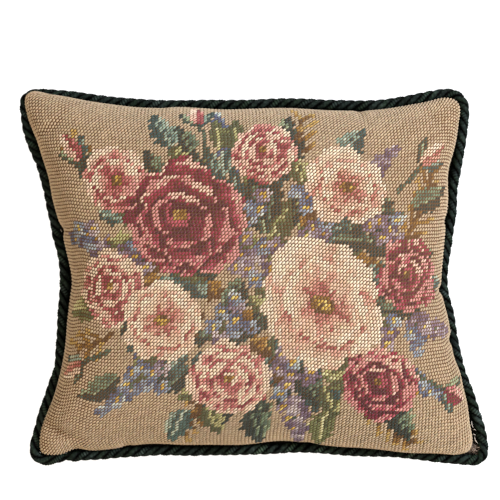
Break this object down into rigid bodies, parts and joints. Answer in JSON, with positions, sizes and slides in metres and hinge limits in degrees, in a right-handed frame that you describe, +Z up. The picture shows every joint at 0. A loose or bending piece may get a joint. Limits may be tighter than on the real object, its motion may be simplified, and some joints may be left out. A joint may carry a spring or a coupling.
{
  "type": "needlepoint cushion",
  "caption": "Filled rectangular cushion with a stitched needlepoint front, a plain cloth back and a twisted cord sewn into the seam.",
  "frame": {"origin": "on the surface it lies on, under the middle of the cushion", "axes": "+X across the picture to its right, +Y to the picture's top, +Z up out of the stitched front"},
  "size_m": [0.446, 0.361, 0.112],
  "materials": {
    "needlepoint": "matte wool tent stitches on canvas",
    "back_cloth": "soft napped cotton",
    "cord": "twisted yarn with a slight sheen"
  },
  "bodies": {
    "root": {"needlepoint_panel": "needlepoint", "cushion_body": "back_cloth", "edge_cord": "cord"}
  },
  "joints": []
}
